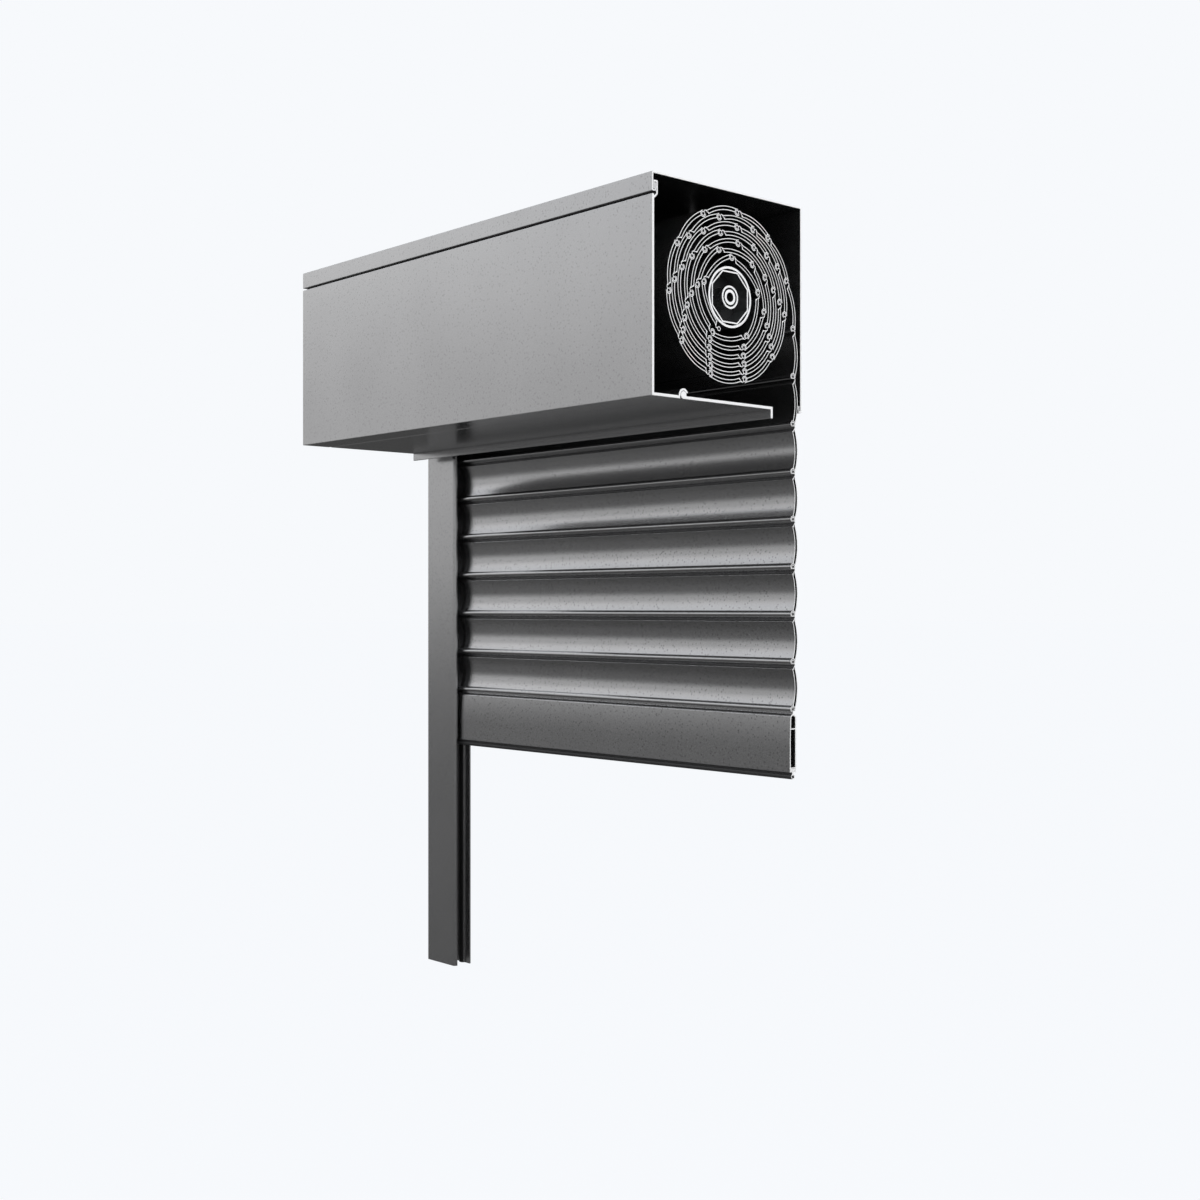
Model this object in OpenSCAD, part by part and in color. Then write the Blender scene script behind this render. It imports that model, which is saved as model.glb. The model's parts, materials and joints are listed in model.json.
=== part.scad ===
// Front-mounted exterior roller shutter, shown as a sample cut open at its right end.
// Frame: X along the shaft, Y = 0 on the wall, front towards -Y, Z = 0 at the shaft's axis.

/* [Box] */
// Length of the sample along the shaft
box_w = 488; // [420:1:560]
// Height and depth of the square box
box_s = 165; // [165:1:172]
// Thickness of the bent shell sheet
sheet_t = 1.2; // [1:0.1:1.4]
// Thickness of the front panel and the bottom flap
panel_t = 2.2; // [2:0.1:2.4]
// Height of the shell's front lip
lip_h = 14.3; // [13:0.1:16]
// Distance of the flap's hinge behind the front face
hinge_y = 32.5; // [30:0.5:40]
// Distance of the flap's rear edge behind the front face
flap_end = 131; // [124:0.5:134]
// How far the flap's lip hangs below the box
flap_lip = 7; // [5:0.5:9]

/* [Slats] */
// Distance from bead to ring in one slat
slat_link = 37.9; // [37.8:0.1:38]
// How far a hanging bead drops in its ring
slat_drop = 0.1; // [0.05:0.05:0.15]
// Thickness of the slat's body
slat_t = 3.3; // [3:0.1:3.4]
// Thickness of the slat's skins
skin_t = 0.6; // [0.5:0.05:0.65]
// Radius of curvature of the slat's body
slat_curve = 46; // [45:0.5:47]
// Outer radius of the ring at the slat's lower edge
ring_r = 2.8; // [2.75:0.05:2.85]
// Radius of the bead at the slat's upper edge
bead_r = 1.8; // [1.7:0.05:1.85]
// Number of slats hanging below the lead slat
hang_count = 8; // [8]

/* [Roll] */
// Radius of the last wound hinge
roll_r = 68.1; // [67.9:0.1:68.3]
// Direction of the last wound hinge above the horizontal
roll_angle = 18; // [17:0.5:19]
// Across flats of the octagonal shaft
shaft_af = 40; // [40]
// Wall of the octagonal shaft
shaft_wall = 1.1; // [0.9:0.1:1.2]
// Outer radius of the winding rings
wrap_r = 23.6; // [23.2:0.1:23.8]

/* [Guide rail] */
// Width of the rail's front
rail_w = 45; // [44:0.5:48]
// Depth of the rail from the wall
rail_d = 20; // [20:0.5:21]
// Length of the rail below the box
rail_h = 513; // [440:1:700]
// Height of the end slat's body
bar_h = 44.6; // [40:0.2:60]
// Thickness of the end slat
bar_t = 7.4; // [6.8:0.1:7.4]

/* [Hidden] */
$fn = 64;

// box
half = box_s / 2;          // box half height
front = -box_s;            // front face
axis_y = -half;            // shaft axis
x_left = -box_w / 2;       // left end
x_cut = box_w / 2;         // cut plane
run = 0.3;                 // clearance between moving pieces
seam_z = half - lip_h;     // lower edge of the front lip
seam_gap = 1.2;            // open joint below it
hook_y = front + hinge_y;  // flap hinge
knob_r = 2.9;              // bead of the flap hinge
hook_z = -half + knob_r;   // its height
rear_d = 3.4;              // hook at the foot of the rear wall
rear_up = 5.4;             // its height
fold_t = 1;                // folded edges
hem_d = 3.7;               // hem of the front lip
hem_up = 6.2;              // its height
hem_top = hem_up + 0.6;    // inside of the panel's loop above the hem
loop_in = hem_d - fold_t - run;
loop_out = hem_d + 2;      // rear face of the panel's loop
hole_r = 3.5;              // wall screw holes
hole_drop = 18;            // their distance below the top
rivet_r = 1.6;
rivet_in = 8;              // rivets from the box's end
RIVETS = [0.2, 0.5, 0.8];  // their places across the top
fit = 0.15;                // clearance between fixed pieces
cap_t = 3;                 // end plate
rim_t = 2;                 // end cap rim
rim_d = 12;                // end cap rim depth
cap_x = x_left + cap_t;    // inner face of the end plate
grommet_at = [-28, 56];    // cable outlet on the end plate
bolt_at = 38;              // bracket screws from the axis
bolt_r = 2.35;             // their shanks
bolt_head = 4.9;           // their heads
bolt_sink = 1.9;           // height of a head
bolt_len = 8.6;
grommet_r = 4;             // bore of the grommet

// slat section
neck_t = skin_t;
neck_a = 320;              // direction in which the neck leaves the bead, to the rear and down
neck_len = 3.35;           // bead centre to the roof's top
fold_a = 80;               // sharpest fold between wound slats
eave = 0.2;                // step of the skins past the roof
shoulder = 5.2;            // bead centre to shoulder
bow_off = 0.84;            // body behind the line from bead to ring
ring_in = ring_r - skin_t;
slack = asin((neck_t / 2 + fit) / ring_in);
gap_to = neck_a + slack;   // mouth of the ring, narrower than the bead
gap_from = neck_a - fold_a - slack;
lock_t = 2;                // head of an end lock
slat_x = x_left + 29;      // left end of every slat
slat_len = x_cut - slat_x;
chord = (slat_link - shoulder) / 2;
bow_x = bow_off - sqrt(slat_curve * slat_curve - chord * chord);
bow_y = -(shoulder + chord);
bow_a = asin(chord / slat_curve);
pitch = slat_link + slat_drop;

// winding: t counts turns inwards from the last wound hinge
turn_p = 5.57;
turn_q = 0.064;
core_r = 27.7;
function wind_r(t) = roll_r - turn_p * t - turn_q * t * t;
function wind_pt(t) = wind_r(t) * [cos(roll_angle + 360 * t), sin(roll_angle + 360 * t)];
function apart(a, b) = acos((a * a + b * b - slat_link * slat_link) / (2 * a * b)) / 360;
function wind_step(t, g = 0.1, n = 10) =
  n == 0 ? g : wind_step(t, apart(wind_r(t), wind_r(t + g)), n - 1);
function wind(t) =
  let (s = t + wind_step(t)) wind_r(s) < core_r ? [t] : concat([t], wind(s));
TURNS = wind(0);
wound = len(TURNS) - 1;
SHARES = 6;                // the wound slats are kept in this many equal groups, outermost first
inner = TURNS[wound];      // innermost bead
lead_pt = wind_pt(0);
strand_d = 10;             // hanging plane, from the wall
strand_y = half - strand_d;
lead_a = asin((strand_y - lead_pt[0]) / slat_link);
lead_end = lead_pt + slat_link * [sin(lead_a), -cos(lead_a)];
hang_z = lead_end[1] - slat_drop;

// rail
rail_x = x_left + 3;       // outer edge
rail_in = rail_x + rail_w; // slot edge
rail_top = -half - 1.5;
rail_bot = rail_top - rail_h;
wall_t = 1.4;
cover_t = 1.3;
web_x = rail_x + 20;
slot_f = -strand_d - 6.4;  // seal tips
slot_r = -strand_d + 6.1;
seal_w = 5;
seal_x = rail_in - 14;
screw_end = 66;            // rail screws from its ends
screw_z = [rail_top - screw_end, rail_bot + screw_end];
rail_hole_r = 3.25;
rail_round = 3;            // rounded edge of the cover
lip_t = 0.9;               // lips that hold the seals

// motor and shaft
bracket_t = 3;
bracket_s = 82;            // across the bracket's flats
bracket_r = 51;            // its rounded corners
stub_s = 12;               // square stub of the motor
head_x = cap_x + bracket_t;
head_len = 11.5;
head_r = 22;
tube_x = head_x + 16;      // left end of the shaft tube
motor_r = 17.5;
motor_wall = 2;
motor_rest = 154;          // shaft left free between the motor and the cut
motor_end = x_cut - motor_rest;
output_r = 5.9;
output_len = 26;
wheel_w = 20;
shaft_in = shaft_af - 2 * shaft_wall - 0.2;  // fittings inside the shaft
pin_r = 5.9;
pin_bore = 3.7;
sleeve_r = 8.9;
sleeve_in = 7.4;
capsule_w = 48;
capsule_in = 14;           // capsule from the cut
capsule_x = x_cut - capsule_in - capsule_w;
ring_w = 40;               // width of a winding ring
hanger_w = 22;
hanger_t = 1.2;
hanger_foot = 8;           // half width of a hanger's foot
hanger_web = 3.4;
hanger_screw = 1.5;
bar_z = hang_z - pitch * hang_count;

// end slat
bar_top = 5.6;             // bead centre to its shoulder
bar_wall = 1;
bar_web = 9.5;             // its web below the shoulder
bar_roof = 2.2;            // height of its roof
seal_slot = 1.8;           // height of the slot for its seal
seal_r = 2.1;              // bulb of the seal
seal_t = 0.8;              // wall of the bulb

// profile drawn in Y and Z, run along X
module along(x0, x1) {
  translate([x0, 0, 0]) rotate([90, 0, 90]) linear_extrude(x1 - x0) children();
}

module tube_along(x0, x1, ro, ri) {
  along(x0, x1) translate([axis_y, 0]) difference() {
    circle(ro);
    if (ri > 0) circle(ri);
  }
}

module octagon(af) {
  rotate(22.5) circle(af / 2 / cos(22.5), $fn = 8);
}

module rect(x0, y0, x1, y1) {
  translate([x0, y0]) square([x1 - x0, y1 - y0]);
}

module wedge(r, a0, a1) {
  polygon(concat([[0, 0]], [for (i = [0:6]) let (a = a0 + (a1 - a0) * i / 6) r * [cos(a), sin(a)]]));
}

module at_rivets() {
  for (y = RIVETS) translate([x_left + rivet_in, front * y, half]) children();
}

module at_bolts(x) {
  for (a = [45:90:315])
    translate([x, axis_y + bolt_at * cos(a), bolt_at * sin(a)]) rotate([0, 90, 0]) children();
}

// box shell: rear wall with hook, top, lip with hem
module box_shell() {
  color("silver") difference() {
    along(x_left, x_cut) {
      rect(-sheet_t, -half, 0, half);
      rect(front, half - sheet_t, 0, half);
      rect(-rear_d, -half, 0, -half + sheet_t);
      rect(-rear_d, -half, -rear_d + fold_t, -half + rear_up);
      rect(front, seam_z, front + sheet_t, half);
      rect(front, seam_z, front + hem_d, seam_z + fold_t);
      rect(front + hem_d - fold_t, seam_z, front + hem_d, seam_z + hem_up);
    }
    for (x = [-box_w / 4, box_w / 4]) translate([x, 1, half - hole_drop])
      rotate([90, 0, 0]) cylinder(10, hole_r, hole_r);
    at_rivets() translate([0, 0, -9]) cylinder(10, rivet_r + 0.1, rivet_r + 0.1);
  }
}

// front panel: loop in the shell's hem, front plate, flange and C-shaped hinge socket
module front_panel() {
  color("silver") along(x_left, x_cut) {
    rect(front, -half, front + panel_t - 0.2, seam_z - seam_gap);
    translate([front, seam_z]) polygon([[panel_t - run, -hem_d - 2], [loop_out, -2],
      [loop_out, hem_top + 1.3], [sheet_t + run, hem_top + 1.3], [sheet_t + run, fold_t + 2 * run],
      [loop_in, fold_t + 2 * run], [loop_in, hem_top], [loop_out - fold_t - 0.4, hem_top],
      [loop_out - fold_t - 0.4, -1.4], [panel_t - run, -hem_d]]);
    rect(front, -half, hook_y - 3.6, -half + panel_t);
    translate([hook_y, hook_z]) difference() {
      circle(knob_r + run + 1.7);
      circle(knob_r + run);
      wedge(12, 195, 385);
    }
  }
}

// bottom flap: bead, plate and downturned lip
module bottom_flap() {
  color("silver") along(x_left, x_cut) {
    translate([hook_y, hook_z]) circle(knob_r);
    rect(hook_y, -half, front + flap_end, -half + panel_t);
    rect(front + flap_end - panel_t, -half - flap_lip, front + flap_end, -half + panel_t);
  }
}

module cap_outline(g) {
  polygon([[front + 2.1 + g, -half + panel_t + 0.5 + g], [hook_y - 6.4 - g, -half + panel_t + 0.5 + g],
    [hook_y - 6.4 - g, hook_z + 6 + g], [hook_y + 6.4 + g, hook_z + 6 + g],
    [hook_y + 6.4 + g, -half + panel_t + 0.5 + g], [-24, -half + panel_t + 0.5 + g], [-24, -half + 7 + g],
    [-sheet_t - g, -half + 7 + g], [-sheet_t - g, half - sheet_t - g], [front + 7 + g, half - sheet_t - g],
    [front + 7 + g, seam_z - 7 - g], [front + 2.1 + g, seam_z - 7 - g]]);
}

// end cap: plate, rim, foot and spigot for the rail
module end_cap() {
  color("silver") difference() {
    union() {
      along(x_left, cap_x) cap_outline(0);
      along(x_left, x_left + cap_t + rim_d) difference() {
        cap_outline(0);
        cap_outline(rim_t);
      }
      translate([x_left + 1, -19, -half]) cube([web_x - x_left - 3, 14.8, 9]);
      translate([rail_x + 3, -11.4, rail_top - 20]) cube([14.6, 7.2, 24]);
    }
    at_bolts(x_left - 1) {
      cylinder(10, bolt_r + 2 * fit, bolt_r + 2 * fit);
      cylinder(1.1 + bolt_sink, bolt_head + fit + 1.1 * (bolt_head - bolt_r) / bolt_sink, bolt_r + fit);
    }
    translate([x_left - 1, grommet_at[0], grommet_at[1]]) rotate([0, 90, 0])
      cylinder(6, grommet_r + 2.5, grommet_r + 2.5);
    at_rivets() translate([0, 0, -9]) cylinder(10, rivet_r + 0.1, rivet_r + 0.1);
  }
}

module cap_rivets() {
  color("gainsboro") at_rivets() {
    translate([0, 0, -sheet_t - rim_t - 1.2]) cylinder(sheet_t + rim_t + 1.4, rivet_r, rivet_r);
    rotate_extrude()
      polygon([[0, 0], [2 * rivet_r, 0], [1.9 * rivet_r, 0.5], [1.4 * rivet_r, 0.9], [0, 1.1]]);
  }
}

module motor_bracket() {
  color("darkgray") difference() {
    along(cap_x, head_x) translate([axis_y, 0]) difference() {
      intersection() {
        square(bracket_s, center = true);
        circle(bracket_r);
      }
      square(stub_s + 0.4, center = true);
    }
    at_bolts(cap_x - 1) cylinder(10, bolt_r + 0.05, bolt_r + 0.05);
  }
}

module bracket_screws() {
  color("gainsboro") at_bolts(x_left + 0.1) difference() {
      union() {
        cylinder(bolt_len, bolt_r, bolt_r);
        cylinder(bolt_sink, bolt_head, bolt_r);
      }
      for (b = [0, 90]) rotate(b) translate([-bolt_r, -0.45, -0.1]) cube([2 * bolt_r, 0.9, 1.1]);
    }
}

module motor_head() {
  color("dimgray") {
    along(cap_x + 0.2, head_x + 0.5) translate([axis_y, 0]) square(stub_s, center = true);
    tube_along(head_x, head_x + head_len, head_r, 0);
    tube_along(head_x + head_len - 0.5, tube_x + 4, motor_r, 0);
    translate([head_x + 5, axis_y + head_r - 2, -5]) cube([head_len - 5.5, 7, 10]);
  }
}

module motor_tube() {
  color("gainsboro") {
    tube_along(tube_x + 4, motor_end, motor_r, motor_r - motor_wall);
    tube_along(motor_end - 6, motor_end, motor_r - 1, output_r + 0.5);
  }
}

module cable_grommet() {
  color("black") translate([x_left - 1.6, grommet_at[0], grommet_at[1]]) rotate([0, 90, 0])
    rotate_extrude() translate([grommet_r, 0])
      polygon([[0, 0], [4.4, 0], [5, 0.6], [5, 1.5], [2.4, 1.5], [2.4, cap_t + 1.7], [4.4, cap_t + 1.7],
        [4.4, cap_t + 3.2], [0, cap_t + 3.2]]);
}

// guide rail
module rail_section() {
  rect(rail_x, -wall_t, rail_in, 0);
  rect(rail_x, -rail_d + cover_t + 0.1, rail_x + wall_t, 0);
  rect(web_x, -rail_d + cover_t + 0.1, web_x + wall_t, 0);
  rect(web_x, -rail_d + cover_t + 0.1, rail_in - 3.3, -rail_d + cover_t + 1.2);
  for (x = [seal_x - lip_t, seal_x + seal_w]) {
    rect(x, -rail_d + cover_t + 0.6, x + lip_t, slot_f - 0.5);
    rect(x, slot_r + 1.2, x + lip_t, -0.5);
  }
}

module rail_base() {
  color("silver") difference() {
    translate([0, 0, rail_bot]) linear_extrude(rail_h) rail_section();
    for (z = screw_z) translate([(rail_x + web_x + wall_t) / 2, 1, z])
      rotate([90, 0, 0]) cylinder(6, rail_hole_r, rail_hole_r);
  }
}

module rail_cover() {
  color("silver") translate([0, 0, rail_bot]) linear_extrude(rail_h) {
    rect(rail_x, -rail_d, rail_in - rail_round, -rail_d + cover_t);
    translate([rail_in - rail_round, -rail_d + rail_round]) intersection() {
      difference() {
        circle(rail_round);
        circle(rail_round - cover_t);
      }
      rect(0, -rail_round - 1, rail_round + 1, 0);
    }
    rect(rail_in - cover_t, -rail_d + rail_round - 0.1, rail_in, -rail_d + rail_round + 0.6);
    for (x = [rail_x + wall_t + 0.1, web_x - 1.1]) rect(x, -rail_d + 0.5, x + 1, -12.4);
  }
}

module rail_seal(y0, y1) {
  translate([0, 0, rail_bot]) linear_extrude(rail_h) rect(seal_x + 0.05, y0, seal_x + seal_w - 0.05, y1);
}

module rail_seal_front() {
  color("black") rail_seal(-rail_d + cover_t + 1.2, slot_f);
}

module rail_seal_rear() {
  color("black") rail_seal(slot_r, -wall_t);
}

module rail_inlet() {
  color("black") {
    along(web_x - 1.9, web_x + 0.9) rect(-19, rail_top + 0.1, -5, -half + 22);
    along(web_x + 0.5, rail_in - 2) {
      polygon([[-19, rail_top + 0.1], [-16.6, rail_top + 0.1], [-16.6, -half + 8], [-19, -half + 20],
        [-23, -half + 28], [-25, -half + 27], [-20.6, -half + 18]]);
      polygon([[-4.2, -half + 9], [-sheet_t, -half + 9], [-sheet_t, -half + 22], [-2.6, -half + 22]]);
    }
    along(web_x - 1.9, web_x + 0.9) rect(-6, -half + 9, -sheet_t, -half + 22);
  }
}

// shaft and its fittings
module shaft_tube() {
  color("gainsboro") difference() {
    along(tube_x, x_cut) translate([axis_y, 0]) difference() {
      octagon(shaft_af);
      octagon(shaft_af - 2 * shaft_wall);
    }
    hanger_holes(hanger_screw + 0.1);
  }
}

module winding_rings() {
  color("gainsboro") for (x = [slat_x + 6, x_cut - ring_w])
    tube_along(x, x + ring_w, wrap_r, shaft_af / 2 / cos(22.5) + 0.2);
}

module crown_adapter() {
  color("dimgray") {
    along(tube_x, tube_x + 22) translate([axis_y, 0]) difference() {
      octagon(shaft_in);
      circle(motor_r + 0.4);
    }
    along(tube_x - 1.6, tube_x) translate([axis_y, 0]) difference() {
      octagon(shaft_af + 2);
      circle(motor_r + 0.4);
    }
  }
}

module motor_output() {
  color("gainsboro") tube_along(motor_end - 5, motor_end + output_len, output_r, 0);
}

module drive_wheel() {
  color("dimgray") along(motor_end + 2, motor_end + 2 + wheel_w) translate([axis_y, 0]) difference() {
    octagon(shaft_in);
    circle(output_r + 0.1);
    for (a = [22.5:45:350]) rotate(a) translate([shaft_in / 3, 0]) circle(shaft_in / 12);
  }
}

module idler_capsule() {
  color("dimgray") along(capsule_x, capsule_x + capsule_w) translate([axis_y, 0]) difference() {
    octagon(shaft_in);
    circle(sleeve_r + 0.05);
  }
}

module idler_sleeve() {
  color("gainsboro") tube_along(capsule_x, x_cut, sleeve_r, sleeve_in);
}

module idler_pin() {
  color("gainsboro") {
    tube_along(capsule_x - 28, x_cut, pin_r, pin_bore);
    for (x = [capsule_x - 2, capsule_x + capsule_w - 8])
      tube_along(x - 8, x + 2, sleeve_in - 0.05, pin_r - 0.1);
  }
}

// hangers: a foot on a flat of the shaft and a ring round the innermost bead
in_pt = wind_pt(inner);
in_dir = atan2(wind_pt(TURNS[wound - 1])[0] - in_pt[0], in_pt[1] - wind_pt(TURNS[wound - 1])[1]);
foot_a = 45 * floor(((roll_angle + 360 * inner) % 360) / 45 + 0.9);
foot_u = [cos(foot_a), sin(foot_a)];
foot_v = [-sin(foot_a), cos(foot_a)];
hanger_x = [slat_x + 101, x_cut - 120];

module hanger_section() {
  difference() {
    union() {
      translate(in_pt) circle(ring_r);
      rotate(foot_a) rect(shaft_af / 2, -hanger_foot, shaft_af / 2 + hanger_t, hanger_foot);
      intersection() {
        rotate(foot_a) rect(shaft_af / 2, -hanger_foot, wind_r(inner) + 1, -hanger_foot + hanger_web);
        circle(wind_r(inner));
      }
      polygon([in_pt + ring_r * [cos(foot_a + 200), sin(foot_a + 200)],
        in_pt + ring_r * [cos(foot_a + 110), sin(foot_a + 110)],
        (shaft_af / 2 + 0.4) * foot_u - (hanger_foot - hanger_web) * foot_v,
        (shaft_af / 2 + 0.4) * foot_u - hanger_foot * foot_v]);
    }
    translate(in_pt) {
      circle(ring_in);
      rotate(in_dir) wedge(9, neck_a - 45, neck_a + 45);
    }
  }
}

module hanger_holes(r) {
  for (x = hanger_x) translate([x, axis_y, 0]) rotate([foot_a, 0, 0]) rotate([-90, 0, 0])
    translate([0, -2, shaft_af / 2 - 4]) cylinder(10, r, r);
}

module slat_hangers() {
  color("gainsboro") difference() {
    for (x = hanger_x) along(x - hanger_w / 2, x + hanger_w / 2) translate([axis_y, 0]) hanger_section();
    hanger_holes(hanger_screw + 0.1);
  }
}

module hanger_screws() {
  color("gainsboro") for (x = hanger_x) translate([x, axis_y, 0]) rotate([foot_a, 0, 0]) rotate([-90, 0, 0])
    translate([0, -2, shaft_af / 2 - shaft_wall]) {
      cylinder(shaft_wall + hanger_t + 0.7, hanger_screw, hanger_screw);
      translate([0, 0, shaft_wall + hanger_t]) cylinder(1, 2 * hanger_screw - 0.1, 1.6 * hanger_screw);
    }
}

// slats: bead at [0, 0], ring at [0, -slat_link], hollow to the front
module bow(r0, r1, a0, a1) {
  translate([bow_x, bow_y]) intersection() {
    difference() {
      circle(r1, $fn = 180);
      circle(r0, $fn = 180);
    }
    polygon([[0, 0], 60 * [cos(a0), sin(a0)], 60 * [cos(a1), sin(a1)]]);
  }
}

function neck_pt(r, side) = r * [cos(neck_a), sin(neck_a)] + side * neck_t / 2 * [-sin(neck_a), cos(neck_a)];
function bow_pt(r, a) = [bow_x, bow_y] + r * [cos(a), sin(a)];

module slat_section() {
  r0 = slat_curve - slat_t / 2;
  r1 = slat_curve + slat_t / 2;
  difference() {
    union() {
      difference() {
        union() {
          bow(r0, r1, -bow_a + 1, bow_a);
          polygon([neck_pt(bead_r - neck_t / 2, -1), neck_pt(neck_len, -1), bow_pt(r0 + eave, bow_a - 0.6),
            bow_pt(r1 - eave, bow_a - 0.6), neck_pt(neck_len, 1), neck_pt(bead_r - neck_t / 2, 1)]);
          circle(bead_r);
        }
        circle(bead_r - skin_t);
        bow(r0 + skin_t, r1 - skin_t, -bow_a + 1.8, bow_a - 1.2);
        polygon([neck_pt(neck_len, 0) - skin_t * [1.35, 2.85], bow_pt(r0 + skin_t + 0.05, bow_a - 1.6),
          bow_pt(r1 - skin_t - 0.15, bow_a - 1.6)]);
      }
      translate([0, -slat_link]) circle(ring_r);
    }
    translate([0, -slat_link]) {
      circle(ring_in);
      wedge(9, gap_from, gap_to);
    }
  }
}

module slat_at(p, a) {
  translate([axis_y + p[0], p[1]]) rotate(a) children();
}

function tilt(from, to) = atan2(to[0] - from[0], from[1] - to[1]);

module wound_slats(share) {
  color("silver") for (j = [0:wound - 1]) if (floor(SHARES * j / wound) + 1 == share) {
    bead = wind_pt(TURNS[j + 1]);
    along(slat_x, x_cut) slat_at(bead, tilt(bead, wind_pt(TURNS[j]))) slat_section();
  }
}

module lock_head() {
  bow(slat_curve - slat_t / 2 + 0.15, slat_curve + slat_t / 2 - 0.15, -bow_a + 4.6, bow_a);
}

module lock_plug() {
  g = slat_t / 2 - skin_t - 0.05;
  bow(slat_curve - g, slat_curve + g, -bow_a + 5.2, bow_a - 1.5);
}

module end_lock(p, a) {
  along(slat_x - lock_t, slat_x) slat_at(p, a) lock_head();
  along(slat_x - 0.5, slat_x + 8) slat_at(p, a) lock_plug();
}

module wound_end_locks() {
  color("black") for (j = [1:2:wound - 1]) {
    bead = wind_pt(TURNS[j + 1]);
    end_lock(bead, tilt(bead, wind_pt(TURNS[j])));
  }
}

module lead_slat() {
  color("silver") along(slat_x, x_cut) slat_at(lead_pt, lead_a) slat_section();
}

module lead_end_lock() {
  color("black") end_lock(lead_pt, lead_a);
}

module hung_slat(i) {
  color("silver") along(slat_x, x_cut) slat_at([strand_y, hang_z - pitch * (i - 2)], 0) slat_section();
}

module curtain_end_locks() {
  color("black") for (i = [3:2:hang_count + 1]) end_lock([strand_y, hang_z - pitch * (i - 2)], 0);
}

// end slat: roof, two chambers and the slot of its seal
module end_slat() {
  b = bar_t / 2;
  w = bar_wall;
  top = bar_top - bead_r + neck_t / 2;
  color("silver") along(slat_x, x_cut) slat_at([strand_y, bar_z - bar_top], 0) difference() {
    union() {
      polygon([[-neck_t / 2, top], [-neck_t / 2, bar_roof], [-b, 0], [-b, -bar_h], [b, -bar_h], [b, 0],
        [neck_t / 2, bar_roof], [neck_t / 2, top]]);
      translate([0, bar_top]) circle(bead_r);
    }
    translate([0, bar_top]) circle(bead_r - skin_t);
    polygon([[-b + w, -bar_web], [b - w, -bar_web], [b - w, -0.55 * w], [0, bar_roof - 1.3 * w],
      [-b + w, -0.55 * w]]);
    rect(-b + w, -bar_h + seal_slot + 2 * w, b - w, -bar_web - w);
    rect(-b + w, -bar_h + w, b - w, -bar_h + w + seal_slot);
    rect(-seal_r / 2 - fit, -bar_h - 1, seal_r / 2 + fit, -bar_h + 1.2 * w);
  }
}

module end_slat_seal() {
  b = bar_t / 2 - bar_wall - 0.1;
  w = bar_wall;
  color("black") along(slat_x, x_cut) slat_at([strand_y, bar_z - bar_top - bar_h], 0) {
    rect(-b, w + 0.1, b, w + seal_slot - 0.1);
    rect(-seal_r / 2, -0.7 * seal_t, seal_r / 2, w + 0.2);
    translate([0, -seal_r - 0.1]) difference() {
      circle(seal_r);
      circle(seal_r - seal_t);
    }
  }
}

module end_slat_plug() {
  b = bar_t / 2;
  w = bar_wall + 0.1;
  color("black") {
    along(slat_x - lock_t, slat_x) slat_at([strand_y, bar_z - bar_top], 0)
      rect(-b + 0.1, -bar_h + 0.1, b - 0.1, -0.1);
    along(slat_x - 0.5, slat_x + 12) slat_at([strand_y, bar_z - bar_top], 0)
      rect(-b + w, -bar_h + seal_slot + 2 * w, b - w, -bar_web - w);
  }
}

box_shell();
front_panel();
end_cap();
cap_rivets();
motor_bracket();
bracket_screws();
motor_head();
motor_tube();
cable_grommet();
rail_base();
rail_cover();
rail_seal_front();
rail_seal_rear();
rail_inlet();
bottom_flap();
shaft_tube();
winding_rings();
crown_adapter();
motor_output();
drive_wheel();
idler_capsule();
idler_sleeve();
idler_pin();
slat_hangers();
hanger_screws();
wound_slats(1);  // wound_slats_1
wound_slats(2);  // wound_slats_2
wound_slats(3);  // wound_slats_3
wound_slats(4);  // wound_slats_4
wound_slats(5);  // wound_slats_5
wound_slats(6);  // wound_slats_6
wound_end_locks();
lead_slat();  // slat_01
lead_end_lock();
hung_slat(2);  // slat_02
hung_slat(3);  // slat_03
hung_slat(4);  // slat_04
hung_slat(5);  // slat_05
hung_slat(6);  // slat_06
hung_slat(7);  // slat_07
hung_slat(8);  // slat_08
hung_slat(9);  // slat_09
curtain_end_locks();
end_slat();
end_slat_seal();
end_slat_plug();
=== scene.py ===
import json
import math

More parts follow.
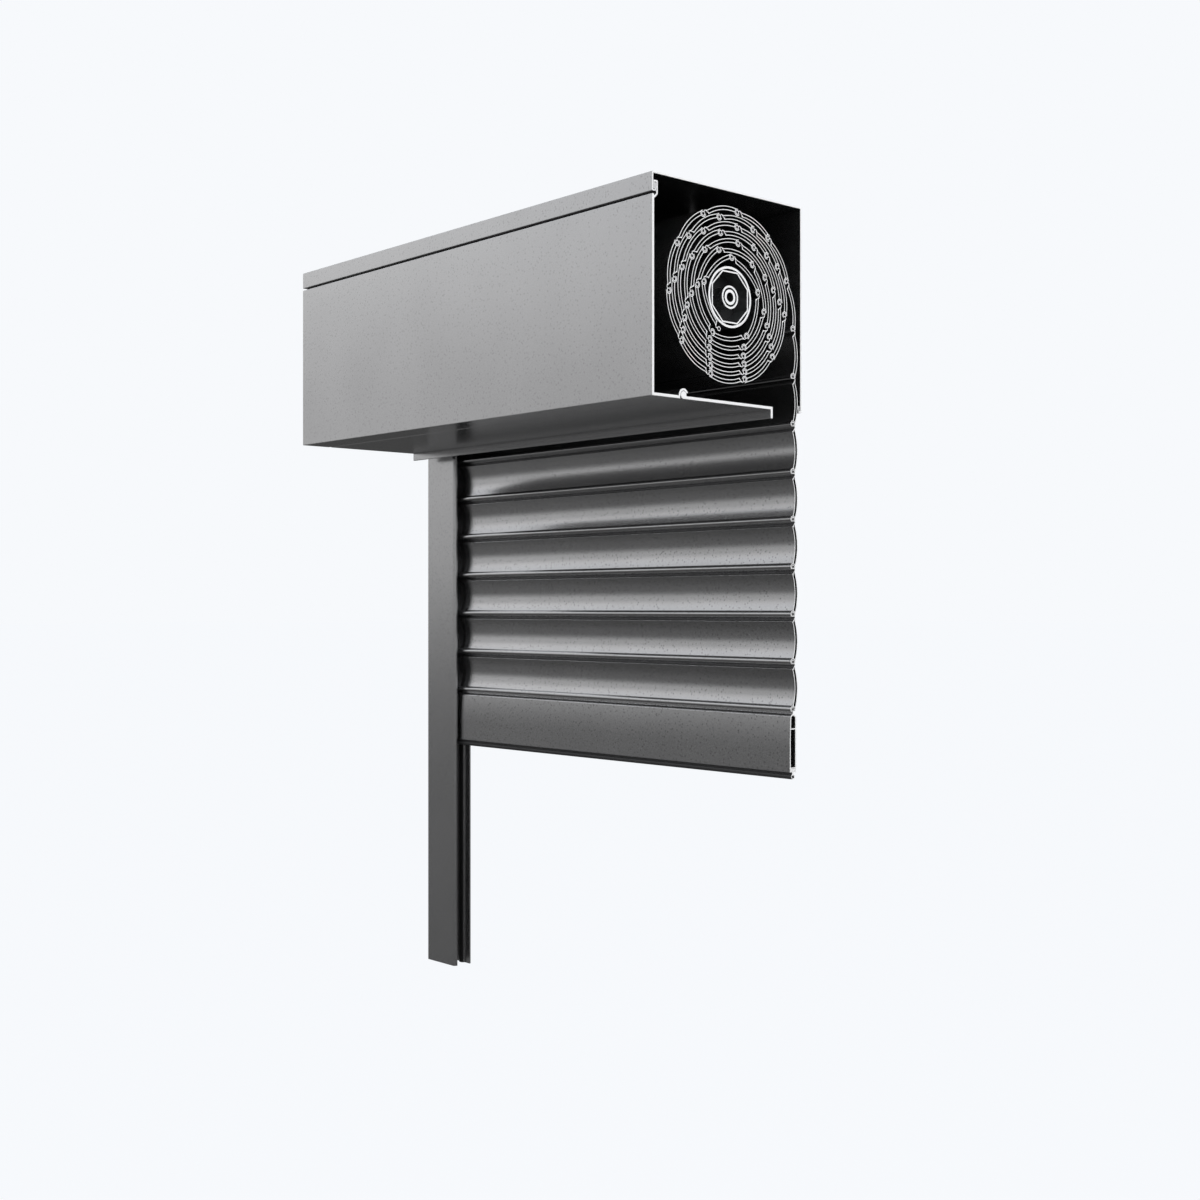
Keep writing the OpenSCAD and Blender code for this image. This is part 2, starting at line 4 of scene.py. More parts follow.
import bmesh
import bpy
import numpy as np
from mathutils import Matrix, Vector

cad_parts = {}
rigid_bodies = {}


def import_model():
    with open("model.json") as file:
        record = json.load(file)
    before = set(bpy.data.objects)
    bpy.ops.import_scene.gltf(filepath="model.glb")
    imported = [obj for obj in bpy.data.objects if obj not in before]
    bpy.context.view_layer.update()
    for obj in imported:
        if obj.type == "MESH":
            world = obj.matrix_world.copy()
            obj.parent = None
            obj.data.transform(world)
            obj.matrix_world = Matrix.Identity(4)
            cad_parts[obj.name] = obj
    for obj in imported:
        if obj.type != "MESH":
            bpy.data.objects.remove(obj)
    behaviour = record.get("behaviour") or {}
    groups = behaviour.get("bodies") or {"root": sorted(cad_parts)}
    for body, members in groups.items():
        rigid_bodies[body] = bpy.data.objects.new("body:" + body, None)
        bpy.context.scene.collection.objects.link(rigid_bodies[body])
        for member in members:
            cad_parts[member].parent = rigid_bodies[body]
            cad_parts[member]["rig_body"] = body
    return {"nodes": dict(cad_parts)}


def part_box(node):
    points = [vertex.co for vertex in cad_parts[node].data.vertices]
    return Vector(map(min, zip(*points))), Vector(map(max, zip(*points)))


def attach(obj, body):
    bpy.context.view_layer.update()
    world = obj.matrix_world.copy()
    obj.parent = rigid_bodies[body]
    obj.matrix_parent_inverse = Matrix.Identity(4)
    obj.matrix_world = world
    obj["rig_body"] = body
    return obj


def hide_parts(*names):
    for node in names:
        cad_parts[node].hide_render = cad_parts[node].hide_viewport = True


bl_info = {
    "name": "Roller shutter sample",
    "version": (1, 0, 0),
    "blender": (4, 5, 0),
    "location": "3D View > Sidebar > Shutter",
    "description": "Finishes a cut sample of an exterior roller shutter and sets its studio",
    "category": "Object",
}

# The frame and its pieces. All lengths in this file are in metres, and named angles are in degrees.
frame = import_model()
NODES = frame["nodes"]
SHOWN = dict(NODES)     # what shows each node: the CAD object, or the finer copy that stands for it
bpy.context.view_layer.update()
CUT_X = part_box("box_shell")[1][0]     # the plane that the sample is sawn in

BOX_NODES = ["box_shell", "front_panel", "end_cap", "bottom_flap"]
RAIL_NODES = ["rail_base", "rail_cover"]
SLAT_NODES = ["slat_%02d" % i for i in range(1, 10)]
WOUND_NODES = ["wound_slats_%d" % i for i in range(1, 7)]
ZINC_NODES = ["cap_rivets", "bracket_screws", "hanger_screws", "motor_output", "idler_pin", "idler_sleeve",
              "slat_hangers"]
GALVANISED_NODES = ["motor_bracket", "shaft_tube", "winding_rings", "motor_tube"]
PLASTIC_NODES = ["motor_head", "crown_adapter", "drive_wheel", "idler_capsule", "rail_inlet",
                 "wound_end_locks", "lead_end_lock", "curtain_end_locks", "end_slat_plug"]
RUBBER_NODES = ["cable_grommet", "rail_seal_front", "rail_seal_rear"]
SEAL_NODES = ["end_slat_seal"]

# Fine forms
NEAR = 1e-5           # corners this close lie at the same level
WELD = 1e-6           # corners this close become one
CREASE = 20           # an edge is sharp from this angle on
BAR_WALL = 0.001      # skin of the end slat
BAR_WEB = 0.0095      # its inner web below the shoulder
BAR_BEND = 0.38       # share of its face, from the foot, that stays flat
BAR_CUTS = 16         # level cuts that let the rest bend

# Finishes
SAW_DEPTH = 2e-5      # faces this close to the sawn plane are lacquered
LACQUER_ROUGH = 0.7
CLOUD = 0.07143       # size of the coat's slow drift in tone
FLECKS = 0.44         # darker flecks along the length of one grain of the coat
PLATING = 0.001111    # grain of zinc on steel

# Floor and backdrop
FLOOR_REACH = 150.0
FLOOR_GLOW = 0.884    # makes the floor as bright as the backdrop to the rays that see it
FLOOR_MATT = 0.15     # share of the backdrop's colour that the floor throws back as light
SKY_FILL = 0.8        # strength of the world where it lights
SKY_SEEN = 1.0        # its strength where it is seen

# Dark card: radius and height of each of its rings, and its glow by the angle over the horizon
CARD_RADII = [0.0, 2.0, 6.0, 15.0, 30.0, 30.0, 30.0]
CARD_RISE = [0.0, 0.0, 0.0, 0.0, 0.5, 4.0, 10.0]
CARD_LIFT = 0.02      # its foot over the floor
CARD_SIDES = 64
CARD_DATUM = (0.0, 0.0, 0.3)     # its angles are measured from this far below the shaft
CARD_LOWEST = -1.0    # sines of the angles that the glow runs between
CARD_HIGHEST = 0.25
CARD_GLOW = [(-90, 0.42), (-60, 0.3), (-45, 0.14), (-30, 0.1), (-20, 0.115), (-12, 0.18),
             (-5, 0.17), (-2, 0.22), (1, 0.57), (4, 0.85), (8, 0.64), (13, 1.15)]

# Side lamp and camera
SOFTBOX_SIZE = 1.4
SOFTBOX_POWER = 16.0  # watts
SOFTBOX_PLACE = (1.75, -0.15, 0.35)
SOFTBOX_TILT = 75
EYE_PLACE = (1.1046, -0.9803, -0.2394)
EYE_TURN = 48.402
EYE_SHIFT = 0.0070    # upward shift of the lens, a share of the picture
EYE_SENSOR = 36.0     # millimetres, as Blender takes it
EYE_FAR = 400.0


def linear(code):
    """Linear colour, with alpha 1, of an sRGB hex code."""
    raw = [int(code[i:i + 2], 16) / 255 for i in (1, 3, 5)]
    return [c / 12.92 if c <= 0.04045 else ((c + 0.055) / 1.055) ** 2.4 for c in raw] + [1.0]


def colour_property(name, description, code):
    """A colour that a user can change, whose default is an sRGB hex code."""
    return bpy.props.FloatVectorProperty(
        name=name, description=description, subtype="COLOR", size=4, min=0, max=1, default=linear(code))


class ShutterForm(bpy.types.PropertyGroup):
    """Fine forms that the render shows beyond the plain solids."""
    crown: bpy.props.FloatProperty(
        name="Crown", description="Fall of the end slat's face to its upper edge", unit="LENGTH",
        default=0.0007, min=0.0, max=0.0008)
    joint: bpy.props.FloatProperty(
        name="Joint", description="Added to the open joint above the front panel", unit="LENGTH",
        default=0.001, min=0.0, max=0.0015)
    droop: bpy.props.FloatProperty(
        name="Seal droop", description="How far the end slat's soft seal is drawn down", unit="LENGTH",
        default=0.0015, min=0.0, max=0.004)


class ShutterFinish(bpy.types.PropertyGroup):
    """Colours and grain of the finishes."""
    coat: colour_property("Coat", "Satin metallic coat of the box and rail", "#BDBDBE")
    slat: colour_property("Slats", "Satin metallic coat of the slats", "#BDBDBE")
    cut: colour_property("Cut faces", "White lacquer on the sawn faces", "#FAFAFA")
    zinc: colour_property("Zinc", "Zinc-plated screws and fittings", "#C9C9C6")
    galvanised: colour_property("Galvanised", "Galvanised shaft, rings and bracket", "#A8ABAD")
    nylon: colour_property("Nylon", "Moulded plastic pieces", "#1B1B1C")
    rubber: colour_property("Rubber", "Grommet and slot seals", "#141414")
    seal: colour_property("Soft seal", "Seal under the end slat", "#383839")
    flake: bpy.props.FloatProperty(
        name="Flake", description="Size of the coat's grain", unit="LENGTH", default=0.0014, min=0.0002,
        max=0.01)


class ShutterStage(bpy.types.PropertyGroup):
    """Backdrop, floor and camera."""
    backdrop: colour_property("Backdrop", "Colour of floor and backdrop", "#F7F9FC")
    drop: bpy.props.FloatProperty(
        name="Floor depth", description="Floor below the shaft", unit="LENGTH", default=1.7, min=0.7, max=5)
    lens: bpy.props.FloatProperty(
        name="Lens", description="Focal length", unit="CAMERA", default=48.34, min=20, max=200)


def add(tree, kind, links=None, **settings):
    """Adds one node, sets its fields, and fills or links its inputs, which are named or numbered."""
    made = tree.nodes.new(kind)
    for key, value in settings.items():
        setattr(made, key, value)
    for key, value in (links or {}).items():
        socket = made.inputs[key]
        if isinstance(value, bpy.types.NodeSocket):
            tree.links.new(value, socket)
        else:
            socket.default_value = value
    return made


def bare_tree(block):
    """The node tree of a material or a world, emptied."""
    block.use_nodes = True
    block.node_tree.nodes.clear()
    return block.node_tree


def blank(name):
    """A new material with its tree, Principled shader and Object coordinates."""
    made = bpy.data.materials.new(name)
    tree = bare_tree(made)
    shader = add(tree, "ShaderNodeBsdfPrincipled")
    add(tree, "ShaderNodeOutputMaterial", {"Surface": shader.outputs[0]})
    place = add(tree, "ShaderNodeTexCoord").outputs["Object"]
    return made, tree, shader, place


def wire(tree, shader, sockets):
    """Links each socket to the shader's input of that name."""
    for key, socket in sockets.items():
        tree.links.new(socket, shader.inputs[key])


def shaded(tree, colour, factors):
    """The colour times all these factors."""
    shade = tuple(colour)[:3]
    for factor in factors:
        shade = add(tree, "ShaderNodeVectorMath", {0: shade, "Scale": factor}, operation="SCALE").outputs[0]
    return shade


def cut_mask(tree, place):
    """1 on the sawn faces, which lie in the plane X = CUT_X, and 0 elsewhere."""
    x = add(tree, "ShaderNodeSeparateXYZ", {0: place}).outputs["X"]
    return add(tree, "ShaderNodeMath", {0: x, 1: CUT_X - SAW_DEPTH}, operation="GREATER_THAN").outputs[0]


def lacquered(tree, mask, metal, white, rough, metallic):
    """Colour, roughness and metallic that turn to white lacquer where the mask is 1."""
    colour = add(tree, "ShaderNodeMix", {"Factor": mask, "A": metal, "B": white}, data_type="RGBA")
    dull = add(tree, "ShaderNodeMix", {"Factor": mask, "A": rough, "B": LACQUER_ROUGH})
    sheen = add(tree, "ShaderNodeMath", {0: metallic, 1: mask}, operation="SUBTRACT", use_clamp=True)
    return colour.outputs["Result"], dull.outputs["Result"], sheen.outputs[0]


def satin_metallic_coat(name, finish, colour, rough, edge, dot, shade_reach):
    """Aluminium with a stoved metallic coat: a soft sheen, fine darker flecks and a faint orange peel.

    Rounded edges get a painted highlight: their colour is made lighter. Where other faces stand close, the
    colour is made darker as painted shade. Sawn faces are white. A real flake is under 0.1 mm, so the grain
    and its flecks are drawn far coarser, as they need to be to show.
    """
    made, tree, shader, place = blank(name)
    grain = add(tree, "ShaderNodeTexNoise", {
        "Vector": place, "Scale": 1 / finish.flake, "Detail": 3.0}).outputs[0]
    cloud = add(tree, "ShaderNodeTexNoise", {"Vector": place, "Scale": 1 / CLOUD, "Detail": 2.0}).outputs[0]
    fleck = add(tree, "ShaderNodeTexVoronoi", {
        "Vector": place, "Scale": FLECKS / finish.flake}).outputs["Distance"]
    tone = add(tree, "ShaderNodeMapRange", {
        "Value": grain, "From Min": 0.3, "From Max": 0.7, "To Min": 0.965, "To Max": 1.02}).outputs[0]
    speck = add(tree, "ShaderNodeMapRange", {
        "Value": fleck, "From Min": 0.1, "From Max": 0.3, "To Min": dot, "To Max": 1.0}).outputs[0]
    drift = add(tree, "ShaderNodeMapRange", {
        "Value": cloud, "From Min": 0.3, "From Max": 0.7, "To Min": 0.97, "To Max": 1.02}).outputs[0]
    dull = add(tree, "ShaderNodeMapRange", {
        "Value": grain, "From Min": 0.3, "From Max": 0.7, "To Min": rough - 0.02,
        "To Max": rough + 0.03}).outputs[0]

    # Where the rounded normal turns away from the flat one there is an edge: a painted highlight lightens its
    # colour.
    rounded = add(tree, "ShaderNodeBevel", {"Radius": edge}, samples=4).outputs[0]
    flat = add(tree, "ShaderNodeNewGeometry").outputs["Normal"]
    turn = add(tree, "ShaderNodeVectorMath", {0: rounded, 1: flat}, operation="DOT_PRODUCT").outputs["Value"]
    edge_highlight = add(tree, "ShaderNodeMapRange", {
        "Value": turn, "From Min": 0.99, "From Max": 0.8, "To Min": 1.0, "To Max": 1.6}).outputs[0]

    # Where other faces stand close, painted shade darkens the colour.
    room = add(tree, "ShaderNodeAmbientOcclusion", {"Distance": shade_reach}, samples=4).outputs["AO"]
    painted_shade = add(tree, "ShaderNodeMapRange", {
        "Value": room, "From Min": 0.15, "From Max": 0.65, "To Min": 0.15, "To Max": 1.0}).outputs[0]

    shade = shaded(tree, colour, [tone, speck, drift, edge_highlight, painted_shade])
    base, rough_out, metal = lacquered(tree, cut_mask(tree, place), shade, finish.cut, dull, metallic=0.98)
    peel = add(tree, "ShaderNodeBump", {
        "Strength": 0.03, "Distance": 0.0004, "Height": grain, "Normal": rounded}).outputs[0]
    wire(tree, shader, {"Base Color": base, "Roughness": rough_out, "Metallic": metal, "Normal": peel})
    return made


def zinc_on_steel(name, finish, colour, rough, crystal, spread):
    """Steel under zinc: a grey metal with crystal patches that differ slightly in tone and sheen.

    A galvanised sheet has crystals of about this size. Those of a plated one are drawn coarser to show.
    """
    made, tree, shader, place = blank(name)
    patch = add(tree, "ShaderNodeTexVoronoi", {"Vector": place, "Scale": 1 / crystal}).outputs["Color"]
    level = add(tree, "ShaderNodeSeparateColor", {0: patch}).outputs[0]
    tone = add(tree, "ShaderNodeMapRange", {"Value": level, "To Min": 1 - spread, "To Max": 1.0}).outputs[0]
    dull = add(tree, "ShaderNodeMapRange", {
        "Value": level, "To Min": rough - 0.05, "To Max": rough + 0.06}).outputs[0]
    shade = shaded(tree, colour, [tone])
    base, rough_out, metal = lacquered(tree, cut_mask(tree, place), shade, finish.cut, dull, metallic=1.0)
    grain = add(tree, "ShaderNodeTexNoise", {
        "Vector": place, "Scale": 1 / PLATING, "Detail": 2.0}).outputs[0]
    bump = add(tree, "ShaderNodeBump", {"Strength": 0.08, "Distance": 0.0003, "Height": grain}).outputs[0]
    wire(tree, shader, {"Base Color": base, "Roughness": rough_out, "Metallic": metal, "Normal": bump})
    return made


def dark_polymer(name, finish, colour, rough, grit):
    """Moulded plastic or extruded rubber: dark, with a fine grit that breaks up the sheen.

    The grit of a real mould or die is under 0.1 mm, so it is drawn coarser, as it needs to be to show.
    """
    made, tree, shader, place = blank(name)
    grain = add(tree, "ShaderNodeTexNoise", {"Vector": place, "Scale": 1 / grit, "Detail": 3.0}).outputs[0]
    tone = add(tree, "ShaderNodeMapRange", {
        "Value": grain, "From Min": 0.3, "From Max": 0.7, "To Min": 0.75, "To Max": 1.2}).outputs[0]
    dull = add(tree, "ShaderNodeMapRange", {
        "Value": grain, "From Min": 0.3, "From Max": 0.7, "To Min": rough - 0.06,
        "To Max": rough + 0.08}).outputs[0]
    shade = shaded(tree, colour, [tone])
    base = add(tree, "ShaderNodeMix", {
        "Factor": cut_mask(tree, place), "A": shade, "B": finish.cut}, data_type="RGBA").outputs["Result"]
    bump = add(tree, "ShaderNodeBump", {"Strength": 0.15, "Distance": 0.0003, "Height": grain}).outputs[0]
    wire(tree, shader, {"Base Color": base, "Roughness": dull, "Normal": bump})
    return made


def corners(mesh):
    """The places of a mesh's corners, one row each."""
    places = np.empty(3 * len(mesh.vertices))
    mesh.vertices.foreach_get("co", places)
    return places.reshape(-1, 3)


def form(node, cuts, move):
    """A finer copy of a CAD node: cut level at these heights, then moved by a rule on whole arrays.

    It stands for the node and rides on its body.
    """
    shape = bmesh.new()
    shape.from_mesh(NODES[node].data)
    for height in cuts:
        whole = shape.verts[:] + shape.edges[:] + shape.faces[:]
        bmesh.ops.bisect_plane(shape, geom=whole, plane_co=(0, 0, height), plane_no=(0, 0, 1))
    bmesh.ops.remove_doubles(shape, verts=shape.verts[:], dist=WELD)
    for edge in shape.edges:
        edge.smooth = edge.calc_face_angle(math.pi) < math.radians(CREASE)
    for face in shape.faces:
        face.smooth = True
    mesh = bpy.data.meshes.new(node + "_formed")
    shape.to_mesh(mesh)
    shape.free()
    mesh.vertices.foreach_set("co", move(corners(mesh)).ravel())
    mesh.update()
    made = bpy.data.objects.new(node + "_formed", mesh)
    bpy.context.scene.collection.objects.link(made)
    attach(made, NODES[node]["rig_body"])
    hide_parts(node)
    SHOWN[node] = made


def dress(names, made):
    """Puts the finish in every material slot of these pieces."""
    for name in names:
        slots = SHOWN[name].data.materials
        if not slots:
            slots.append(made)
        for i in range(len(slots)):
            slots[i] = made


class SHUTTER_OT_form_pieces(bpy.types.Operator):
    """Crowns the end slat, opens the front panel's upper joint and draws the soft seal down"""
    bl_idname = "shutter.form_pieces"
    bl_label = "Form fine shapes"

    def execute(self, context):
        sizes = context.scene.shutter_form
        bar = corners(NODES["end_slat"].data)
        bar_y = bar[:, 1].min()
        bar_face = bar[bar[:, 1] < bar_y + NEAR, 2]
        foot, top = bar_face.min(), bar_face.max()
        bend = foot + BAR_BEND * (top - foot)
        panel = corners(NODES["front_panel"].data)
        plate_top = panel[panel[:, 1] < panel[:, 1].min() + NEAR, 2].max()

        def crowned(points):
            """Above the bend, the front wall falls back by the square of the way up.

            Its inner skin does so above the web.
            """
            way = np.clip((points[:, 2] - bend) / (top - bend), 0, 1)
            outer = points[:, 1] < bar_y + NEAR
            inner = (points[:, 1] < bar_y + BAR_WALL + NEAR) & (points[:, 2] > top - BAR_WEB - NEAR)
            points[:, 1] += sizes.crown * way ** 2 * (inner | outer)
            return points

        def opened(points):
            """The upper edge of the plate goes down."""
            points[np.abs(points[:, 2] - plate_top) < NEAR, 2] -= sizes.joint
            return points

        def drawn(points):
            """What hangs below the end slat goes down, and the stem above it stretches."""
            points[points[:, 2] < foot - NEAR, 2] -= sizes.droop
            return points

        form("end_slat", np.linspace(bend, top, BAR_CUTS + 1)[:-1], crowned)
        form("front_panel", [], opened)
        form("end_slat_seal", [], drawn)
        return {"FINISHED"}


class SHUTTER_OT_coat_box(bpy.types.Operator):
    """Coats the box, the flap and the guide rail"""
    bl_idname = "shutter.coat_box"
    bl_label = "Coat box and rail"

    def execute(self, context):
        # Bent sheet takes the coat evenly: a calm silver grey whose flecks barely show.
        finish = context.scene.shutter_finish
        dress(BOX_NODES + RAIL_NODES, satin_metallic_coat(
            "stoved_aluminium_box", finish, finish.coat, rough=0.21, edge=0.0008, dot=0.8, shade_reach=0.005))
        return {"FINISHED"}


class SHUTTER_OT_coat_slats(bpy.types.Operator):
    """Coats the wound and the hanging slats"""
    bl_idname = "shutter.coat_slats"
    bl_label = "Coat slats"

    def execute(self, context):
        # Thin sections show the coat livelier, with clear flecks. The edge radius stays below the wall, which
        # is 1 mm on the end slat and 0.6 mm on the others.
        finish = context.scene.shutter_finish
        dress(["end_slat"], satin_metallic_coat(
            "stoved_aluminium_bar", finish, finish.slat, rough=0.2, edge=0.0009, dot=0.62, shade_reach=0.001))
        dress(SLAT_NODES + WOUND_NODES, satin_metallic_coat(
            "stoved_aluminium_slat", finish, finish.slat, rough=0.2, edge=0.0004, dot=0.68, shade_reach=0.001))
        return {"FINISHED"}


class SHUTTER_OT_plate_steel(bpy.types.Operator):
    """Plates the shaft, its fittings and the screws"""
    bl_idname = "shutter.plate_steel"
    bl_label = "Plate steel pieces"

    def execute(self, context):
        # Plated fittings look bright and even, and hot-dipped sheet duller and more patchy.
        finish = context.scene.shutter_finish
        dress(ZINC_NODES, zinc_on_steel(
            "zinc_plated_steel", finish, finish.zinc, rough=0.3, crystal=0.001667, spread=0.1))
        dress(GALVANISED_NODES, zinc_on_steel(
            "galvanised_steel", finish, finish.galvanised, rough=0.42, crystal=0.008333, spread=0.22))
        return {"FINISHED"}


class SHUTTER_OT_mould_polymers(bpy.types.Operator):
    """Gives the plastic and rubber pieces their finish"""
    bl_idname = "shutter.mould_polymers"
    bl_label = "Mould plastics and rubber"

    def execute(self, context):
        # Nylon looks black with a satin sheen, rubber matt, and the soft seal dark grey and between the two.
        finish = context.scene.shutter_finish
        dress(PLASTIC_NODES, dark_polymer("moulded_nylon", finish, finish.nylon, rough=0.5, grit=0.0006))
        dress(RUBBER_NODES, dark_polymer("epdm_rubber", finish, finish.rubber, rough=0.72, grit=0.0004))
        dress(SEAL_NODES, dark_polymer("extruded_soft_pvc", finish, finish.seal, rough=0.55, grit=0.0004))
        return {"FINISHED"}


def seen_rays(tree):
    """1 for rays that come from the camera, a mirrored face or glass, and 0 for those that only light."""
    path = add(tree, "ShaderNodeLightPath").outputs
    seen = path["Is Camera Ray"]
    for kind in ("Is Glossy Ray", "Is Transmission Ray"):
        seen = add(tree, "ShaderNodeMath", {0: seen, 1: path[kind]}, operation="MAXIMUM").outputs[0]
    return seen


def floor_paint(backdrop):
    """Pale studio paint: to the eye one even glow with the backdrop, to the light a dim matt floor."""
    made = bpy.data.materials.new("pale_floor_paint")
    tree = bare_tree(made)
    power = add(tree, "ShaderNodeMath", {0: seen_rays(tree), 1: FLOOR_GLOW}, operation="MULTIPLY").outputs[0]
    glow = add(tree, "ShaderNodeEmission", {"Color": backdrop, "Strength": power}).outputs[0]
    matt = add(tree, "ShaderNodeBsdfDiffuse", {"Color": [c * FLOOR_MATT for c in backdrop[:3]] + [1.0]})
    both = add(tree, "ShaderNodeAddShader", {0: glow, 1: matt.outputs[0]}).outputs[0]
    add(tree, "ShaderNodeOutputMaterial", {"Surface": both})
    return made


def dark_card():
    """Dark studio card: a dim glow that depends on where the card is seen from the shutter.

    The glow follows CARD_GLOW by height. To the rear it is stronger far down and weaker from there up, and
    it weakens from the far left to the right, more so above the horizon. From outside the card is clear.
    """
    made = bpy.data.materials.new("dark_card")
    tree = bare_tree(made)
    geometry = add(tree, "ShaderNodeNewGeometry")
    way = add(tree, "ShaderNodeVectorMath", {0: geometry.outputs["Position"], 1: CARD_DATUM}).outputs[0]
    way = add(tree, "ShaderNodeVectorMath", {0: way}, operation="NORMALIZE").outputs[0]
    way = add(tree, "ShaderNodeSeparateXYZ", {0: way}).outputs

    height = add(tree, "ShaderNodeMapRange", {
        "Value": way["Z"], "From Min": CARD_LOWEST, "From Max": CARD_HIGHEST}).outputs[0]
    ramp = add(tree, "ShaderNodeValToRGB", {0: height})
    steps = ramp.color_ramp.elements
    for i, (angle, level) in enumerate(CARD_GLOW):
        spot = (math.sin(math.radians(angle)) - CARD_LOWEST) / (CARD_HIGHEST - CARD_LOWEST)
        step = steps[i] if i < 2 else steps.new(spot)
        step.position = spot
        step.color = (level, level, level, 1)

    rear = add(tree, "ShaderNodeMapRange", {"Value": way["Y"], "From Min": -0.1, "From Max": 0.35}).outputs[0]
    low = add(tree, "ShaderNodeMapRange", {
        "Value": way["Z"], "From Min": -0.4, "From Max": -0.2, "To Min": 1.9, "To Max": 0.33}).outputs[0]
    back = add(tree, "ShaderNodeMix", {"Factor": rear, "A": 1.0, "B": low}).outputs["Result"]
    right = add(tree, "ShaderNodeMapRange", {
        "Value": way["Z"], "From Min": -0.02, "From Max": 0.06, "To Min": 0.88, "To Max": 0.77}).outputs[0]
    flank = add(tree, "ShaderNodeMapRange", {
        "Value": way["X"], "From Min": -0.86, "From Max": -0.72, "To Min": 1.0, "To Max": right}).outputs[0]
    power = add(tree, "ShaderNodeMath", {0: back, 1: flank}, operation="MULTIPLY").outputs[0]

    dim = add(tree, "ShaderNodeEmission", {"Color": ramp.outputs["Color"], "Strength": power}).outputs[0]
    clear = add(tree, "ShaderNodeBsdfTransparent").outputs[0]
    side = add(tree, "ShaderNodeMixShader", {0: geometry.outputs["Backfacing"], 1: dim, 2: clear}).outputs[0]
    add(tree, "ShaderNodeOutputMaterial", {"Surface": side})
    return made


def card_rings(drop):
    """Corners and faces of the dark card: rings round the upright axis, each with its radius and height."""
    away, turn = np.meshgrid(CARD_RADII, np.linspace(0, 2 * np.pi, CARD_SIDES, endpoint=False))
    rise = np.broadcast_to(np.array(CARD_RISE) - drop + CARD_LIFT, away.shape)
    rings = np.stack([away * np.cos(turn), away * np.sin(turn), rise], -1)
    index = np.arange(away.size).reshape(away.shape)
    after = np.roll(index, -1, 0)
    quads = np.stack([index[:, :-1], index[:, 1:], after[:, 1:], after[:, :-1]], -1)
    return rings.reshape(-1, 3), quads.reshape(-1, 4)


def stage_piece(name, points, faces, paint):
    """A painted mesh that belongs to the studio and not to the shutter."""
    mesh = bpy.data.meshes.new(name)
    mesh.from_pydata(points.tolist(), [], faces.tolist())
    made = bpy.data.objects.new(name, mesh)
    bpy.context.scene.collection.objects.link(made)
    mesh.materials.append(paint)
    return made


def studio_world(backdrop):
    """Even pale light from all round, a little weaker where it lights than where it is seen."""
    made = bpy.data.worlds.new("studio")
    tree = bare_tree(made)
    level = add(tree, "ShaderNodeMapRange", {
        "Value": seen_rays(tree), "To Min": SKY_FILL, "To Max": SKY_SEEN}).outputs[0]
    sky = add(tree, "ShaderNodeBackground", {"Color": backdrop, "Strength": level}).outputs[0]
    add(tree, "ShaderNodeOutputWorld", {"Surface": sky})
    return made


def side_softbox():
    """Square soft lamp off the sawn end, which no mirrored ray sees."""
    lamp = bpy.data.lights.new("side_softbox", "AREA")
    lamp.shape = "RECTANGLE"
    lamp.size = SOFTBOX_SIZE
    lamp.size_y = SOFTBOX_SIZE
    lamp.energy = SOFTBOX_POWER
    made = bpy.data.objects.new("side_softbox", lamp)
    made.location = SOFTBOX_PLACE
    made.rotation_euler = (0.0, math.radians(SOFTBOX_TILT), 0.0)
    made.visible_glossy = False
    return made


def level_camera(lens):
    """Camera that looks level at the front and the sawn end."""
    view = bpy.data.cameras.new("camera")
    view.lens = lens
    view.sensor_width = EYE_SENSOR
    view.shift_y = EYE_SHIFT
    view.clip_end = EYE_FAR
    made = bpy.data.objects.new("camera", view)
    made.location = EYE_PLACE
    made.rotation_euler = (math.radians(90), 0.0, math.radians(EYE_TURN))
    return made


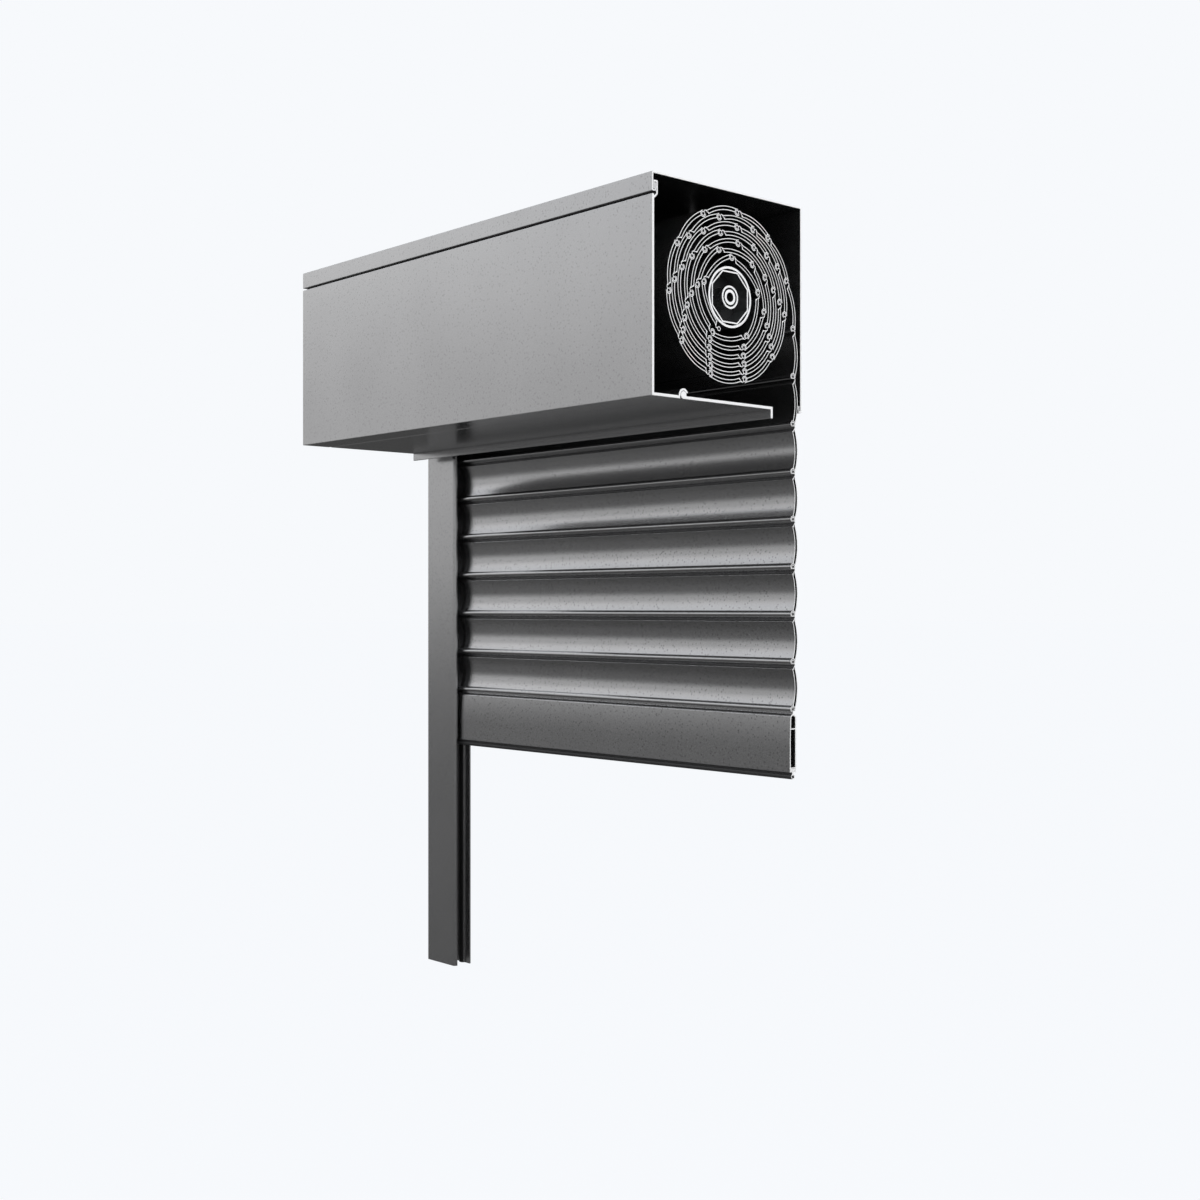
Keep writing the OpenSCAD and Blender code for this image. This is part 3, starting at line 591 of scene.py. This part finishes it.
class SHUTTER_OT_set_stage(bpy.types.Operator):
    """Sets the floor, the lights, the world and the camera"""
    bl_idname = "shutter.set_stage"
    bl_label = "Set the stage"

    def execute(self, context):
        scene = context.scene
        stage = scene.shutter_stage
        scene.view_settings.view_transform = "Standard"
        square = np.array([[-1, -1, 0], [1, -1, 0], [1, 1, 0], [-1, 1, 0]])
        stage_piece("floor", FLOOR_REACH * square - [0, 0, stage.drop], np.array([[0, 1, 2, 3]]),
                    floor_paint(stage.backdrop))

        # A dark card lies over the floor and rises far off, as a studio flag does, so that the metal's
        # undersides stay dark. Only mirrored rays see it, and light from outside passes through it.
        points, faces = card_rings(stage.drop)
        flag = stage_piece("dark_flag", points, faces, dark_card())
        flag.visible_camera = False
        flag.visible_shadow = False
        flag.visible_diffuse = False

        scene.world = studio_world(stage.backdrop)
        scene.collection.objects.link(side_softbox())
        scene.camera = level_camera(stage.lens)
        scene.collection.objects.link(scene.camera)
        return {"FINISHED"}


class SHUTTER_PT_panel(bpy.types.Panel):
    """Lists the settings and the steps in the sidebar."""
    bl_label = "Roller shutter"
    bl_idname = "SHUTTER_PT_panel"
    bl_space_type = "VIEW_3D"
    bl_region_type = "UI"
    bl_category = "Shutter"

    def draw(self, context):
        for key in ("crown", "joint", "droop"):
            self.layout.prop(context.scene.shutter_form, key)
        for key in ("coat", "slat", "cut", "zinc", "galvanised", "nylon", "rubber", "seal", "flake"):
            self.layout.prop(context.scene.shutter_finish, key)
        for key in ("backdrop", "drop", "lens"):
            self.layout.prop(context.scene.shutter_stage, key)
        for step in STEPS:
            self.layout.operator(step.bl_idname)


STEPS = [SHUTTER_OT_form_pieces, SHUTTER_OT_coat_box, SHUTTER_OT_coat_slats, SHUTTER_OT_plate_steel,
         SHUTTER_OT_mould_polymers, SHUTTER_OT_set_stage]
CLASSES = [ShutterForm, ShutterFinish, ShutterStage] + STEPS + [SHUTTER_PT_panel]


def register():
    """Adds the classes and hangs the settings on the scene."""
    for made in CLASSES:
        bpy.utils.register_class(made)
    bpy.types.Scene.shutter_form = bpy.props.PointerProperty(type=ShutterForm)
    bpy.types.Scene.shutter_finish = bpy.props.PointerProperty(type=ShutterFinish)
    bpy.types.Scene.shutter_stage = bpy.props.PointerProperty(type=ShutterStage)


def unregister():
    """Takes the settings and the classes away again."""
    del bpy.types.Scene.shutter_stage
    del bpy.types.Scene.shutter_finish
    del bpy.types.Scene.shutter_form
    for made in reversed(CLASSES):
        bpy.utils.unregister_class(made)


def main():
    """Runs all the steps on the frame."""
    register()
    bpy.ops.shutter.form_pieces()
    bpy.ops.shutter.coat_box()
    bpy.ops.shutter.coat_slats()
    bpy.ops.shutter.plate_steel()
    bpy.ops.shutter.mould_polymers()
    bpy.ops.shutter.set_stage()


if __name__ == "__main__":
    main()
